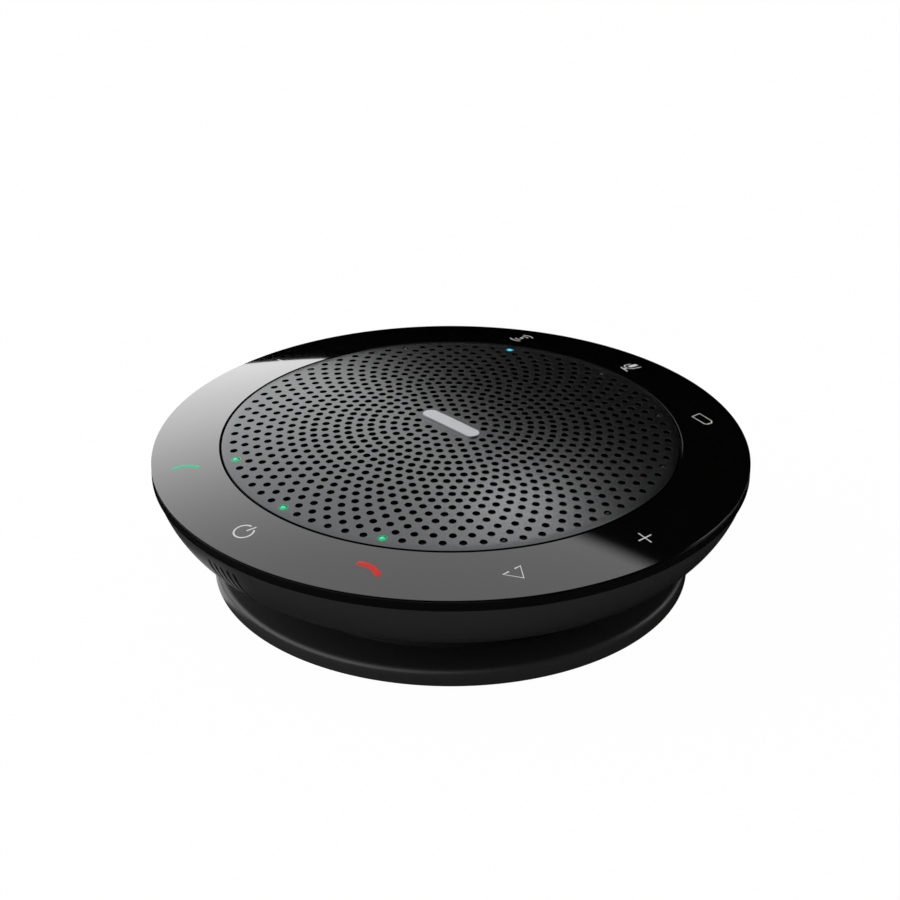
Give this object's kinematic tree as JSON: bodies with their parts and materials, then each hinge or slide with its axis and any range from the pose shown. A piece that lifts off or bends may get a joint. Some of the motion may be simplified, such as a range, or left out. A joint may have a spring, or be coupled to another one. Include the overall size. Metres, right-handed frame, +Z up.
{
  "type": "conference speakerphone",
  "caption": "Low round table speakerphone with domed perforated grille, glossy touch ring, bowl-shaped body and a cable-storage channel above a disc foot.",
  "frame": {"origin": "centre of the rubber foot's underside, on the table", "axes": "+Z up along the unit's axis; the front, with the microphone slots and the power sign, faces -Y; +X is to the right"},
  "size_m": [0.12, 0.12, 0.0323],
  "materials": {
    "grille_steel": "satin gunmetal lacquer on perforated steel",
    "cloth": "black acoustic cloth",
    "badge_metal": "blank satin plate",
    "gloss_black": "mirror-gloss black polycarbonate",
    "frame_black": "black moulded plastic, fine texture",
    "housing_black": "black moulded ABS, satin",
    "core_black": "black moulded ABS, matt",
    "base_black": "black moulded ABS, satin",
    "light_pipe": "clear light pipes",
    "led": "light sources",
    "foil": "amber sensor film",
    "board_green": "solder-mask green circuit board",
    "chip_black": "chip package",
    "connector_ivory": "connector housing",
    "ceramic": "ceramic",
    "can_tin": "tinned steel",
    "capacitor": "aluminium can",
    "screw_steel": "zinc-plated steel",
    "basket_steel": "black lacquered steel",
    "plate_steel": "zinc-plated steel",
    "ferrite": "ferrite",
    "phenolic": "phenolic strip",
    "spider_cloth": "resin-treated cloth",
    "surround_rubber": "soft rubber roll",
    "cone_paper": "coated paper",
    "coil_copper": "enamelled copper wire",
    "gasket_foam": "closed-cell foam",
    "rubber": "black rubber",
    "ribbon": "flat cable",
    "wire_red": "insulated wire",
    "battery_foil": "laminate pouch",
    "mic_metal": "capsule can"
  },
  "bodies": {
    "unit": {"grille": "grille_steel", "grille_cloth": "cloth", "badge": "badge_metal", "grille_frame": "frame_black", "light_pipes": "light_pipe", "indicator_leds": "led", "touch_ring": "gloss_black", "touch_foil": "foil", "icon_leds": "led", "led_board": "board_green", "led_connector": "connector_ivory", "upper_housing": "housing_black", "lower_housing": "housing_black", "housing_screws": "screw_steel", "winding_core": "core_black", "cord_gland": "rubber", "base_disc": "base_black", "base_screws": "screw_steel", "rubber_foot": "rubber", "driver_basket": "basket_steel", "driver_gasket": "gasket_foam", "driver_screws": "screw_steel", "magnet": "ferrite", "top_plate": "plate_steel", "yoke": "plate_steel", "terminal_strip": "phenolic", "spider": "spider_cloth", "surround": "surround_rubber", "main_board": "board_green", "board_screws": "screw_steel", "board_chips": "chip_black", "shield_can": "can_tin", "chip_antenna": "ceramic", "capacitors": "capacitor", "board_connectors": "connector_ivory", "ribbon_cable": "ribbon", "speaker_leads": "wire_red", "battery_cell": "battery_foil", "battery_pad": "gasket_foam", "battery_leads": "wire_red", "microphone": "mic_metal", "mic_boot": "rubber"},
    "cone_assembly": {"cone": "cone_paper", "dust_cap": "cone_paper", "voice_coil": "coil_copper"}
  },
  "joints": [
    {"name": "cone_travel", "type": "slide", "parent": "unit", "child": "cone_assembly", "axis": [0, 0, 1], "range_m": [-0.0015, 0.0015], "stiffness_N_per_m": 1000, "deforming": ["surround", "spider"]}
  ]
}
